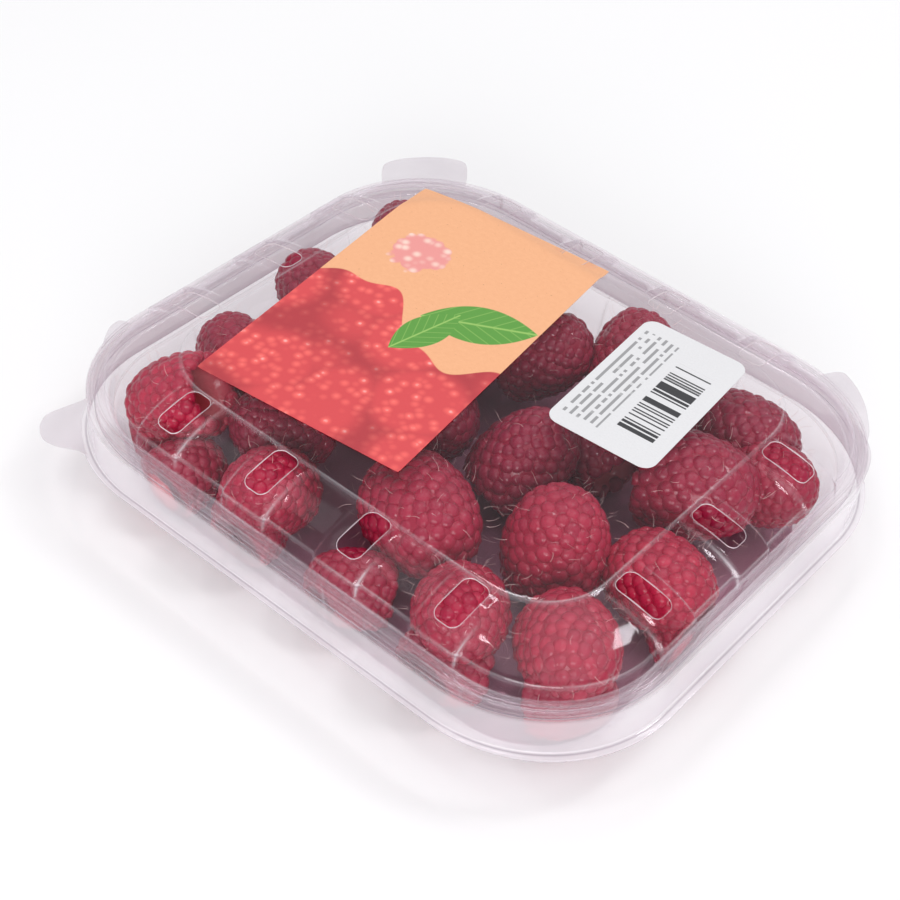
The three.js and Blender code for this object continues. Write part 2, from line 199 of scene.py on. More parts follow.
# Berries that no one sees whole, on a loose grid
HIDDEN_ROWS, HIDDEN_COLUMNS, HIDDEN_STEP_X, HIDDEN_STEP_Y = 5, 6, 21, 19.5
HIDDEN_KEEP_OFF, HIDDEN_SEED, HIDDEN_EDGE_X, HIDDEN_EDGE_Y = 16.5, 41, 56, 44
HIDDEN_HEIGHT, HIDDEN_SIZE, HIDDEN_RIPE = 12, 0.98, 1
# Free room between tray and lid: half sizes, corner radius, height; the lid from ROOF_FROM on
ROOM = np.array([
    (62.4, 52.4, 22.2, 1.95), (64.6, 54.8, 23.4, 16.5), (66.2, 56.6, 24.8, 21.8),
    (66.4, 56.8, 24.0, 26.4), (63.2, 54.0, 22.2, 28.4), (58.6, 49.8, 19.6, 29.8),
    (52.2, 44.0, 15.6, 30.9),
])
ROOF_FROM = 3
# Half of a raspberry from its tip over the outside and up into the hollow: place, radius, height
THIMBLE = [
    (0.0, 0.0, 1.0), (0.07, 0.3, 0.985), (0.16, 0.56, 0.92), (0.28, 0.8, 0.76),
    (0.41, 0.95, 0.54), (0.52, 0.99, 0.34), (0.62, 0.95, 0.16), (0.69, 0.84, 0.03),
    (0.74, 0.7, 0.0), (0.79, 0.57, 0.06), (0.86, 0.44, 0.25), (0.94, 0.26, 0.5), (1.0, 0.0, 0.6),
]
THIMBLE_LIP, HOLLOW_FROM = 0.755, 0.78
GOLDEN_ANGLE = 2.39996
DRUPELETS, DRUPELET_SIZE, HAIR_LENGTH = 205, 1.7, 2.3
# Parts of a drupelet's size: how deep it is set, its height, and how high a hair stands on it
DRUPELET_SINK, DRUPELET_FLAT, HAIR_LIFT = 0.4, 0.65, 0.62
HAIR_SHARE, HAIR_TIP, HAIR_FOOT, HAIR_LEAN = 0.3, 0.008, 0.02, 0.45
LOWER_DRUPELETS, LOWER_DRUPELET_SIZE = 150, DRUPELET_SIZE * 1.15


class Wire:
    """A node socket that adds a Math node when an operator meets it."""

    def __init__(self, board, socket):
        self.board, self.socket = board, socket

    def maths(self, operation, *values):
        return self.board.add("ShaderNodeMath", {"operation": operation},
                              dict(enumerate(values)))

    def __add__(self, other):
        return self.maths("ADD", self, other)

    def __sub__(self, other):
        return self.maths("SUBTRACT", self, other)

    def __rsub__(self, other):
        return self.maths("SUBTRACT", other, self)

    def __mul__(self, other):
        return self.maths("MULTIPLY", self, other)

    def __truediv__(self, other):
        return self.maths("DIVIDE", self, other)

    def __pow__(self, other):
        return self.maths("POWER", self, other)

    __radd__ = __add__
    __rmul__ = __mul__

    def most(self, other):
        return self.maths("MAXIMUM", self, other)

    def least(self, other):
        return self.maths("MINIMUM", self, other)

    def of(self, operation):
        return self.maths(operation, self)

    def rise(self, start, end):
        """0 at start, 1 at end, smooth between them and level beyond."""
        return self.board.add("ShaderNodeMapRange", {"interpolation_type": "SMOOTHSTEP"},
                              {0: self, 1: start, 2: end})


class Board:
    """A node tree with one way to add a node; of a curve's points, corners stay sharp."""

    def __init__(self, tree):
        self.tree = tree

    def add(self, kind, settings=None, sockets=None, out=0):
        node = self.tree.nodes.new(kind)
        for name, value in (settings or {}).items():
            if name in ("points", "corners"):
                set_points(node, value, "AUTO" if name == "points" else "VECTOR")
            else:
                setattr(node, name, value)
        for key, value in (sockets or {}).items():
            self.feed(node.inputs[key], value)
        return Wire(self, node.outputs[out]) if len(node.outputs) else node

    def feed(self, socket, value):
        if isinstance(value, Wire):
            self.tree.links.new(value.socket, socket)
        else:
            socket.default_value = value

    def parts(self, vector):
        """The three numbers of a vector."""
        split = self.add("ShaderNodeSeparateXYZ", None, {0: vector}).socket.node
        return [Wire(self, output) for output in split.outputs]

    def mix(self, factor, first, second):
        """Colour between two colours."""
        first, second = (c if isinstance(c, Wire) else (*c, 1.0) for c in (first, second))
        return self.add("ShaderNodeMix", {"data_type": "RGBA"},
                        {0: factor, 6: first, 7: second}, out=2)

    def noise(self, place, scale, detail=3.0, rough=0.55):
        return self.add("ShaderNodeTexNoise", None, {
            "Vector": place, "Scale": scale, "Detail": detail, "Roughness": rough})

    def attribute(self, name):
        return self.add("ShaderNodeAttribute", {"attribute_name": name}, out=2)

    def object_place(self):
        return self.add("ShaderNodeTexCoord", out=3)

    def bump(self, height, depth, strength=1.0):
        return self.add("ShaderNodeBump", None, {
            "Height": height, "Distance": depth, "Strength": strength})


def set_points(node, points, handle):
    curve = node.mapping.curves[0]
    while len(curve.points) < len(points):
        curve.points.new(0.5, 0.5)
    for point, (x, y) in zip(curve.points, points):
        point.location = (x, y)
        point.handle_type = handle
    node.mapping.update()


def new_material(name):
    """A material with only its output left, and the board to build it on."""
    material = bpy.data.materials.new(name)
    material.use_nodes = True
    board = Board(material.node_tree)
    for node in list(board.tree.nodes):
        if node.type != "OUTPUT_MATERIAL":
            board.tree.nodes.remove(node)
    return material, board


def finish_material(board, shader):
    board.feed(board.tree.nodes[0].inputs["Surface"], shader)


def add_piece(name, mesh, replaces, materials=()):
    for material in materials:
        mesh.materials.append(material)
    piece = bpy.data.objects.new(name, mesh)
    bpy.context.scene.collection.objects.link(piece)
    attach(piece, "root")
    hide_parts(replaces)
    return piece


def mesh_from(name, points_mm, faces):
    """Mesh from millimetres in the pack's own frame."""
    points = (np.asarray(points_mm, float) + [0, SHIFT_Y, 0]) * MM
    mesh = bpy.data.meshes.new(name)
    mesh.from_pydata(points.tolist(), [], faces)
    mesh.update()
    return mesh


def add_attribute(mesh, name, values):
    attribute = mesh.attributes.new(name, "FLOAT", "POINT")
    attribute.data.foreach_set("value", np.asarray(values, np.float32))


def join_meshes(name, meshes):
    shape = bmesh.new()
    for mesh in meshes:
        shape.from_mesh(mesh)
        bpy.data.meshes.remove(mesh)
    joined = bpy.data.meshes.new(name)
    shape.to_mesh(joined)
    shape.free()
    return joined


def combine(base, tool, operation):
    """Boolean of two meshes; new faces keep their own mesh's material."""
    items = [bpy.data.objects.new("part", mesh) for mesh in (base, tool)]
    for item in items:
        bpy.context.scene.collection.objects.link(item)
    change = items[0].modifiers.new("combine", "BOOLEAN")
    change.operation, change.solver, change.object = operation, "MANIFOLD", items[1]
    change.material_mode = "TRANSFER"
    result = bpy.data.meshes.new_from_object(
        items[0].evaluated_get(bpy.context.evaluated_depsgraph_get()))
    for item in items:
        bpy.data.objects.remove(item)
    return result


# Sheets of the lid and the tray
def with_run(line):
    """Levels with how far each lies along the sheet's line as the last column."""
    rows = np.array(line, float)
    step = np.hypot(np.diff(rows[:, 0] + rows[:, 1]) / 2, np.diff(rows[:, 3]))
    return np.column_stack([rows, np.concatenate([[0], np.cumsum(step)])])


def eased_line(line, rounds=2, cut=0.22):
    """A line of levels with its corners cut softer and softer."""
    rows = np.array(line, float)
    for _ in range(rounds):
        a, b = rows[:-1], rows[1:]
        softer = np.empty((2 * len(a), rows.shape[1]))
        softer[0::2] = (1 - cut) * a + cut * b
        softer[1::2] = cut * a + (1 - cut) * b
        rows = np.vstack([rows[:1], softer, rows[-1:]])
    return rows


def bay_weight(along, centres):
    """1 within a bay, 0 between bays, smooth over its flanks."""
    distance = np.min(np.abs(along[:, None] - np.array(centres)[None, :]), axis=1)
    t = np.clip((BAY_FOOT - distance) / (BAY_FOOT - BAY_TOP), 0, 1)
    return t * t * (3 - 2 * t)


def side_stations(centres):
    """Places along a side: even steps, with the bay flanks drawn finer."""
    last = centres[-1] + BAY_FOOT
    places = list(np.arange(-last, last + 0.01, STATION_STEP))
    for centre in centres:
        for t in np.linspace(BAY_TOP, BAY_FOOT, 5):
            places += [centre - t, centre + t]
    keep = [-last]
    for place in sorted(places):
        if place - keep[-1] > STATION_LEAST:
            keep.append(place)
    return np.array(keep)


STATIONS_X, STATIONS_Y = side_stations(BAY_X), side_stations(BAY_Y)


def edge_at(along, half_along, half_across, radius):
    """How far out a rounded side lies at places along it."""
    past = np.maximum(np.abs(along) - (half_along - radius), 0)
    return half_across - radius + np.sqrt(np.maximum(radius * radius - past * past, 0))


def corner_arc(a, b, r, z):
    """Points of a rounded corner between the last places of both sides."""
    start = math.asin(min(max((STATIONS_Y[-1] - (b - r)) / r, 0), 1))
    end = math.acos(min(max((STATIONS_X[-1] - (a - r)) / r, 0), 1))
    angle = start + (end - start) * (np.arange(CORNER_STEPS) + 0.5) / CORNER_STEPS
    x, y = a - r + r * np.cos(angle), b - r + r * np.sin(angle)
    return np.stack([x, y, np.full(len(angle), z)], 1)


def level_ring(a, b, r, z, up, out):
    """One level line round the pack, counter-clockwise, bays included."""
    wy, wx = bay_weight(STATIONS_Y, BAY_Y), bay_weight(STATIONS_X, BAY_X)
    right = np.stack([edge_at(STATIONS_Y, b, a, r) + wy * out * BAY_REACH, STATIONS_Y,
                      z + wy * up * BAY_LIFT], 1)
    back = np.stack([-STATIONS_X, edge_at(STATIONS_X, a, b, r) + wx * out * BAY_REACH,
                     z + wx * up * BAY_LIFT], 1)
    arc = corner_arc(a, b, r, z)
    other_arc = arc[::-1] * [-1, 1, 1]
    half = [right, arc, back, other_arc]
    return np.vstack(half + [part * [-1, -1, 1] for part in half])


def ring_flanks():
    """How much each point of a ring lies on a bay's flank."""
    across_y, across_x = bay_weight(STATIONS_Y, BAY_Y), bay_weight(STATIONS_X, BAY_X)
    arc = np.zeros(CORNER_STEPS)
    half = [4 * across_y * (1 - across_y), arc, 4 * across_x * (1 - across_x), arc]
    return np.concatenate(half + half)


def sheet_levels(line):
    """Top levels and, a sheet's thickness behind them, the underside levels."""
    rows = eased_line(with_run(line))
    before, after = np.vstack([rows[:1], rows[:-1]]), np.vstack([rows[1:], rows[-1:]])
    outward = (after[:, 0] + after[:, 1] - before[:, 0] - before[:, 1]) / 2
    rise = after[:, 3] - before[:, 3]
    size = np.maximum(np.hypot(outward, rise), 1e-9)
    under = rows.copy()
    for column in (0, 1, 2):
        under[:, column] += rise / size * SHEET
    under[:, 3] -= outward / size * SHEET
    return rows, under


def sheet_mesh(name, line, floor_to=0):
    """Closed thin sheet; run is the way along its line, flank marks the bays' sides. Faces
    nearer the middle than floor_to are its floor."""
    top, under = sheet_levels(line)
    levels = np.vstack([top, under[::-1]])
    rings = [level_ring(*row[:6]) for row in levels]
    count = len(rings[0])
    points = np.vstack([[[0, 0, top[0][3]]], *rings, [[0, 0, under[0][3]]]])
    flanks = ring_flanks() ** 3
    flank = [flanks * min(1, row[4] * 0.4 + abs(row[5])) for row in levels]
    run = np.concatenate([[0], np.repeat(levels[:, 7], count), [0]])
    last = len(points) - 1
    i = np.arange(count)
    j = (i + 1) % count
    faces = [(0, 1 + p, 1 + q) for p, q in zip(i.tolist(), j.tolist())]
    faces += [(last, last - count + q, last - count + p) for p, q in zip(i.tolist(), j.tolist())]
    rim = len(faces) + (len(top) - 1) * count
    for k in range(len(rings) - 1):
        low, high = 1 + k * count, 1 + (k + 1) * count
        quads = np.stack([low + i, high + i, high + j, low + j], 1)
        faces += [tuple(quad) for quad in quads.tolist()]
    mesh = mesh_from(name, points, faces)
    add_attribute(mesh, "run", run)
    add_attribute(mesh, "flank", np.concatenate([[0], *flank, [0]]))
    finishes = np.zeros(len(faces), int)
    finishes[count:2 * count] = UNDER_FACE
    finishes[rim:] = UNDER_FACE
    finishes[rim:rim + count] = EDGE_FACE
    if floor_to:
        inner = int((top[:, 0] < floor_to).sum()) * count
        finishes[:2 * count + inner] = FLOOR_FACE
        finishes[-inner:] = FLOOR_FACE
    mesh.polygons.foreach_set("material_index", finishes)
    return mesh


def rounded_outline(cx, cy, half_x, half_y, radius, steps):
    points = []
    for sx, sy, start in ((1, 1, 0), (-1, 1, 90), (-1, -1, 180), (1, -1, 270)):
        for k in range(steps + 1):
            angle = math.radians(start + 90 * k / steps)
            points.append((cx + sx * (half_x - radius) + radius * math.cos(angle),
                           cy + sy * (half_y - radius) + radius * math.sin(angle)))
    return points


def prism_mesh(name, outline, low, high):
    """Closed upright prism over an outline."""
    count = len(outline)
    points = [(x, y, low) for x, y in outline] + [(x, y, high) for x, y in outline]
    faces = [tuple(range(count))[::-1], tuple(range(count, 2 * count))]
    faces += [(i, (i + 1) % count, (i + 1) % count + count, i + count) for i in range(count)]
    return mesh_from(name, points, faces)


def corner_tab(plate, tab):
    """Flat tab on a rounded corner, rooted in the plate by its bite."""
    sx, sy, line = tab
    cx, cy = sx * (plate["a"] - plate["r"]), sy * (plate["b"] - plate["r"])
    angle, reach = eased_line(line).T
    ring = plate["r"] + np.concatenate([reach, np.full(len(reach), -plate["bite"])])
    angle = np.radians(np.concatenate([angle, angle[::-1]]))
    top = PANEL_HEIGHT - plate["drop"]
    outline = list(zip(cx + ring * np.cos(angle), cy + ring * np.sin(angle)))
    return prism_mesh("tab", outline, top - plate["thick"], top)


def vent_outlines():
    """A slot that crosses the shoulder in every bay."""
    across = VENT_INSET + VENT_LENGTH / 2
    cuts = []
    for sign in (-1, 1):
        cuts += [(x, sign * (PANEL_EDGE_Y + across), VENT_WIDTH / 2, VENT_LENGTH / 2)
                 for x in BAY_X]
        cuts += [(sign * (PANEL_EDGE_X + across), y, VENT_LENGTH / 2, VENT_WIDTH / 2)
                 for y in BAY_Y]
    return [rounded_outline(*cut, VENT_ROUND, VENT_ROUND_STEPS) for cut in cuts]


def thin_lines(board, run, places):
    """1 on thin lines at places along the sheet's line, 0 between them."""
    points = [(0.0, 0.0)]
    for place in places:
        points += [((place + shift) / LINE_RANGE, value)
                   for shift, value in ((-LINE_HALF, 0.0), (0.0, 1.0), (LINE_HALF, 0.0))]
    return board.add("ShaderNodeFloatCurve", {"corners": points + [(1.0, 0.0)]},
                     {"Value": run * (1 / LINE_RANGE)})


def sheet_gloss(board):
    """Share of light that the sheet mirrors, more at a grazing angle."""
    facing = board.add("ShaderNodeLayerWeight", None, {"Blend": 0.5}, out=1)
    return facing ** 5.0 * GRAZING_GLOSS + SHEET_GLOSS


def clear_plastic(name, line, veil, frost):
    """Clear sheet: gloss by angle, a thin milky veil, more of it down the skirt, painted
    highlights on the bay flanks, and painted highlight lines and painted shade lines along its
    creases."""
    material, board = new_material(name)
    place = board.object_place()
    gloss = sheet_gloss(board)
    run, flank = board.attribute("run"), board.attribute("flank")
    creases = [row[7] for row in with_run(line) if row[6]]
    # Painted highlight lines on the creases, and painted shade lines just past them
    light = thin_lines(board, run, creases)
    dark = thin_lines(board, run, [crease + SHADE_LINE_SHIFT for crease in creases])
    cloud = board.noise(place, 70.0, 0.0)
    skirt = board.parts(place)[2].rise(SKIRT_TOP * MM, (SKIRT_TOP - SKIRT_FADE) * MM) * frost
    vary = cloud.rise(0.3, 0.7)
    # Milky cover: veil, frosted skirt, painted highlight lines, painted highlights on the bay
    # flanks and painted shade lines
    milk = cloud * veil + skirt + light * (vary * CREASE_HIGHLIGHT_VARY + CREASE_HIGHLIGHT_LEAST)
    milk = milk + flank * vary * FLANK_HIGHLIGHT + dark * CREASE_SHADE_STRENGTH
    cover = (gloss + milk).least(1.0)
    cover_sheet(board, CLEAR_TINT, cover, board.add("ShaderNodeBsdfPrincipled", None, {
        # Grey base colour along the painted shade lines
        "Base Color": board.mix(dark, SHEET_WHITE, CREASE_SHADE_GREY),
        "Metallic": gloss / cover, "Roughness": cloud * 0.03 + 0.045,
        "Normal": board.bump(cloud, 0.0007, 0.3)}))
    return material


def plain_plastic(name, colour, veil, tint):
    """Back faces, cut edges and tabs of the sheet, with a veil that clouds slightly."""
    material, board = new_material(name)
    gloss = sheet_gloss(board)
    cover = (gloss + board.noise(board.object_place(), 90.0, 0.0) * veil).least(1.0)
    cover_sheet(board, tint, cover, board.add("ShaderNodeBsdfPrincipled", None, {
        "Base Color": (*colour, 1), "Metallic": gloss / cover, "Roughness": 0.08}))
    return material


def cover_sheet(board, tint, cover, shine):
    """Tinted see-through sheet with the shine over its covered share."""
    through = board.add("ShaderNodeBsdfTransparent", None, {"Color": (*tint, 1)})
    finish_material(board, board.add("ShaderNodeMixShader", None, {
        0: cover, 1: through, 2: shine}))


def vent_rims(sheet):
    """A fine round rim along each vent's edge, laid on the sheet, to carry the vents' painted
    highlight.
    """
    tree = BVHTree.FromPolygons([v.co for v in sheet.vertices],
                                [tuple(f.vertices) for f in sheet.polygons])
    rims = []
    for outline in vent_outlines():
        line = []
        for x, y in outline:
            start = Vector((x, y + SHIFT_Y, PANEL_HEIGHT + 5)) * MM
            line.append(tree.ray_cast(start, Vector((0, 0, -1)))[0] / MM)
        line = np.array(line) - [0, SHIFT_Y, VENT_RIM * 0.3]
        rims.append(closed_tube("vent_rim", line, VENT_RIM, VENT_RIM_SIDES))
    return rims


def closed_tube(name, line, radius, sides):
    """Thin tube along a closed line that lies nearly flat."""
    along = np.roll(line, -1, 0) - np.roll(line, 1, 0)
    along /= np.linalg.norm(along, axis=1)[:, None]
    across = np.cross(along, [0, 0, 1])
    across /= np.linalg.norm(across, axis=1)[:, None]
    above = np.cross(across, along)
    turn = 2 * np.pi * np.arange(sides) / sides
    points = (line[:, None] + radius * (np.cos(turn)[None, :, None] * across[:, None]
                                        + np.sin(turn)[None, :, None] * above[:, None]))
    count = len(line)
    faces = []
    for i in range(count):
        for k in range(sides):
            a, b = i * sides + k, i * sides + (k + 1) % sides
            c, d = (i + 1) % count * sides + (k + 1) % sides, (i + 1) % count * sides + k
            faces.append((a, d, c, b))
    return mesh_from(name, points.reshape(-1, 3), faces)


def build_plastic():
    """Lid with its tabs, vents and vent rims, and the tray."""
    lid_line = [(a, b, r, PANEL_HEIGHT - drop, up, out, crease)
                for a, b, r, drop, up, out, crease in LID_LINE]
    tray_face = clear_plastic("clear sheet of the tray", TRAY_LINE, veil=0.008, frost=0.0)
    lid_face = clear_plastic("clear sheet with a frosted skirt", lid_line, veil=0.008, frost=0.44)
    under, edge, cut, pressed, floor = (
        plain_plastic(name, colour, veil, tint) for name, colour, veil, tint in (
            ("back of the clear sheet", SHEET_WHITE, 0.006, CLEAR_TINT),
            # Outer edge: opaque dark grey, a painted shade line along the sheet's edge
            ("outer edge of the sheet, painted dark", (0.5, 0.47, 0.52), 1.0, SHADED_SHEET_TINT),
            # Cut edges of the vents and their rims: opaque whitish, a painted highlight
            ("vent edges painted light", (0.9, 0.82, 0.86), 1.0, CLEAR_TINT),
            # Tabs: greyer and darker than the sheet, painted shade
            ("pressed tab of the sheet, painted darker", (0.7, 0.65, 0.7), 0.24, SHADED_SHEET_TINT),
            # Tray floor: dark mauve, painted shade between the berries with a painted reddish
            # reflection of the fruit
            ("floor of the tray, painted shade", (0.45, 0.15, 0.25), 0.16, FLOOR_SHADE_TINT)))
    tray, lid = sheet_mesh("tray_sheet", TRAY_LINE, TRAY_FOOT), sheet_mesh("lid_sheet", lid_line)
    for mesh, parts in ((tray, (tray_face, edge, under, floor)), (lid, (lid_face, edge, under))):
        for finish in parts:
            mesh.materials.append(finish)
    vents = join_meshes("vents", [prism_mesh("vent", outline, VENT_CUT_LOW, VENT_CUT_HIGH)
                                  for outline in vent_outlines()])
    tabs = join_meshes("tabs", [corner_tab(RIM_PLATE, ear) for ear in EARS]
                       + [corner_tab(FLANGE_PLATE, tab) for tab in FLANGE_TABS])
    vents.materials.append(cut)
    tabs.materials.append(pressed)
    lid = combine(lid, tabs, "UNION")
    rims = join_meshes("rims", vent_rims(lid))
    lid = combine(lid, vents, "DIFFERENCE")
    finishes = list(lid.materials)
    # The rims take the vents' whitish edge finish, their painted highlight
    rims.polygons.foreach_set("material_index", [finishes.index(cut)] * len(rims.polygons))
    lid = join_meshes("lid_sheet", [lid, rims])
    for mesh in (lid, tray):
        mesh.shade_smooth()
        mesh.set_sharp_from_angle(angle=SHARP_ANGLE)
    add_piece("lid_sheet", lid, "lid", finishes)
    add_piece("tray_sheet", tray, "tray")


# Raspberries
class ShapeBoard(Board):
    """A geometry tree with named inputs."""

    def __init__(self, name, inputs):
        tree = bpy.data.node_groups.new(name, "GeometryNodeTree")
        super().__init__(tree)
        for label, kind, value in inputs:
            socket = tree.interface.new_socket(label, in_out="INPUT", socket_type=kind)
            if value is not None:
                socket.default_value = value
        tree.interface.new_socket("Geometry", in_out="OUTPUT", socket_type="NodeSocketGeometry")
        self.given = tree.nodes.new("NodeGroupInput")

    def input(self, name):
        return Wire(self, self.given.outputs[name])

    def curve(self, value, points):
        return self.add("ShaderNodeFloatCurve", {"points": points}, {"Value": value})

    def vector(self, x, y, z):
        return self.add("ShaderNodeCombineXYZ", None, {0: x, 1: y, 2: z})

    def scaled(self, vector, size):
        return self.add("ShaderNodeVectorMath", {"operation": "SCALE"}, {0: vector, 3: size})

    def store(self, mesh, name, value):
        return self.add("GeometryNodeStoreNamedAttribute",
                        {"data_type": "FLOAT", "domain": "POINT"},
                        {"Geometry": mesh, "Name": name, "Value": value})

    def chance(self, low, high, seed):
        return self.add("FunctionNodeRandomValue", {"data_type": "FLOAT"},
                        {2: low, 3: high, "Seed": seed}, out=1)

    def moved(self, mesh, **place):
        return self.add("GeometryNodeSetPosition", None, {
            "Geometry": mesh, **{name.capitalize(): value for name, value in place.items()}})

    def end(self, mesh):
        """Plain faces with the given material as the tree's result."""
        mesh = self.add("GeometryNodeRealizeInstances", None, {0: mesh})
        mesh = self.add("GeometryNodeSetMaterial", None,
                        {"Geometry": mesh, "Material": self.input("Material")})
        self.feed(self.tree.nodes.new("NodeGroupOutput").inputs[0], mesh)
        return self.tree


def even_places():
    """Curve from an even count to a place on the thimble, so drupelets lie equally close."""
    s, r, z = np.array(THIMBLE).T
    fine = np.linspace(0.012, THIMBLE_LIP, 240)
    radius = np.interp(fine, s, r) * BERRY_RADIUS
    height = np.interp(fine, s, z) * BERRY_LENGTH
    run = np.hypot(np.diff(radius), np.diff(height)) * (radius[1:] + radius[:-1]) / 2
    share = np.concatenate([[0], np.cumsum(run)]) / run.sum()
    return [(t, float(np.interp(t, share, fine))) for t in np.linspace(0, 1, 14)]


def thimble_place(board, place, angle):
    """Point of the thimble's skin at a place along its line and an angle round it."""
    radius = board.curve(place, [(s, r) for s, r, z in THIMBLE]) * board.input("Radius")
    height = (board.curve(place, [(s, z) for s, r, z in THIMBLE]) - 0.5) * board.input("Length")
    return board.vector(radius * angle.of("COSINE"), radius * angle.of("SINE"), height)


def thimble_body(board, segments=22, rings=18):
    """The skin under the drupelets, with its hollow."""
    ball = board.add("GeometryNodeMeshUVSphere", None, {
        "Segments": segments, "Rings": rings, "Radius": 1.0})
    x, y, z = board.parts(board.add("GeometryNodeInputPosition"))
    place = z.most(-1.0).least(1.0).of("ARCCOSINE") * (1 / math.pi)
    body = board.store(ball, "hollow", place.rise(HOLLOW_FROM - 0.03, HOLLOW_FROM + 0.06))
    return board.moved(body, position=thimble_place(board, place, y.maths("ARCTAN2", y, x)))


def drupelet_points(board, body):
    """Points spread by the golden angle, and the skin's direction at them."""
    count, seed = board.input("Drupelets"), board.input("Seed")
    index = board.add("GeometryNodeInputIndex")
    place = board.curve((index + 0.5) / count, even_places())
    place = place + board.chance(-0.006, 0.006, seed + 1)
    angle = index * GOLDEN_ANGLE + board.chance(-0.09, 0.09, seed)
    points = board.add("GeometryNodePoints", None, {
        "Count": count, "Position": thimble_place(board, place, angle)})
    outward = board.add("GeometryNodeSampleNearestSurface", {"data_type": "FLOAT_VECTOR"}, {
        "Mesh": body, "Value": board.add("GeometryNodeInputNormal"),
        "Sample Position": board.add("GeometryNodeInputPosition")})
    return points, outward


BERRY_INPUTS = [
    ("Radius", "NodeSocketFloat", BERRY_RADIUS * MM),
    ("Length", "NodeSocketFloat", BERRY_LENGTH * MM),
    ("Drupelets", "NodeSocketInt", DRUPELETS),
    ("Drupelet size", "NodeSocketFloat", DRUPELET_SIZE * MM),
    ("Hair length", "NodeSocketFloat", HAIR_LENGTH * MM),
    ("Seed", "NodeSocketInt", 0),
    ("Up", "NodeSocketVector", (0.0, 0.0, 1.0)),
    ("Material", "NodeSocketMaterial", None),
]


def drupelet_balls(board, points, outward, some, fineness):
    """Drupelets on some of the points; dip runs from -1 at a ball's foot to 1 at its top."""
    size, seed = board.input("Drupelet size"), board.input("Seed")
    ball = board.add("GeometryNodeMeshIcoSphere", None, {
        "Radius": 1.0, "Subdivisions": fineness})
    ball = board.store(ball, "dip", board.parts(board.add("GeometryNodeInputPosition"))[2])
    ball = board.add("GeometryNodeSetShadeSmooth", None, {0: ball})
    scale = size * board.chance(0.9, 1.12, seed + 2)
    grown = board.vector(scale, scale * board.chance(0.88, 1.05, seed + 3),
                         scale * DRUPELET_FLAT)
    stand = board.add("FunctionNodeAlignRotationToVector", {"axis": "Z"}, {"Vector": outward})
    return board.add("GeometryNodeInstanceOnPoints", None, {
        "Points": points, "Selection": some, "Instance": ball, "Scale": grown,
        "Rotation": stand})


def raspberry_tree():
    """A thimble covered with drupelets, finer where the berry faces up."""
    board = ShapeBoard("raspberry", BERRY_INPUTS)
    body = thimble_body(board)
    points, outward = drupelet_points(board, body)
    seed = board.input("Seed")
    sink = board.scaled(outward, board.input("Drupelet size") * -DRUPELET_SINK)
    points = board.moved(points, offset=sink)
    points = board.store(points, "tone", board.chance(0.0, 1.0, seed + 4))
    upward = board.add("ShaderNodeVectorMath", {"operation": "DOT_PRODUCT"},
                       {0: outward, 1: board.input("Up")}, out=1)
    upper = upward.maths("GREATER_THAN", upward, 0.0)
    body = board.store(board.store(body, "dip", -1.0), "tone", 0.3)
    body = board.add("GeometryNodeSetShadeSmooth", None, {0: body})
    joined = board.add("GeometryNodeJoinGeometry")
    for part in (body, drupelet_balls(board, points, outward, upper, 2),
                 drupelet_balls(board, points, outward, 1.0 - upper, 1)):
        board.tree.links.new(part.socket, joined.socket.node.inputs[0])
    return board.end(joined)


def hair_tree():
    """Thin bent hairs that stand on some of the drupelets."""
    board = ShapeBoard("raspberry_hairs", BERRY_INPUTS)
    points, outward = drupelet_points(board, thimble_body(board))
    seed = board.input("Seed")
    hair = board.add("GeometryNodeMeshCone", {"fill_type": "NONE"}, {
        "Vertices": 3, "Side Segments": 4, "Radius Top": HAIR_TIP, "Radius Bottom": HAIR_FOOT,
        "Depth": 1.0})
    height = board.parts(board.add("GeometryNodeInputPosition"))[2]
    bent = board.vector(height * height * 0.45, height * height * height * -0.2, 0.0)
    hair = board.moved(hair, offset=bent)
    stand = board.add("FunctionNodeAlignRotationToVector", {"axis": "Z"}, {"Vector": outward})
    lean = board.vector(board.chance(-HAIR_LEAN, HAIR_LEAN, seed + 5),
                        board.chance(-HAIR_LEAN, HAIR_LEAN, seed + 6),
                        board.chance(0.0, math.tau, seed + 7))
    lean = board.add("FunctionNodeEulerToRotation", None, {0: lean})
    stand = board.add("FunctionNodeRotateRotation", {"rotation_space": "LOCAL"}, {
        "Rotation": stand, "Rotate By": lean})
    lift = board.scaled(outward, board.input("Drupelet size") * HAIR_LIFT)
    points = board.moved(points, offset=lift)
    some = board.add("FunctionNodeRandomValue", {"data_type": "BOOLEAN"}, {
        "Probability": HAIR_SHARE, "Seed": seed + 9}, out=3)
    hairs = board.add("GeometryNodeInstanceOnPoints", None, {
        "Points": points, "Selection": some, "Instance": hair, "Rotation": stand,
        "Scale": board.input("Hair length") * board.chance(0.5, 1.1, seed + 8)})
    return board.end(hairs)


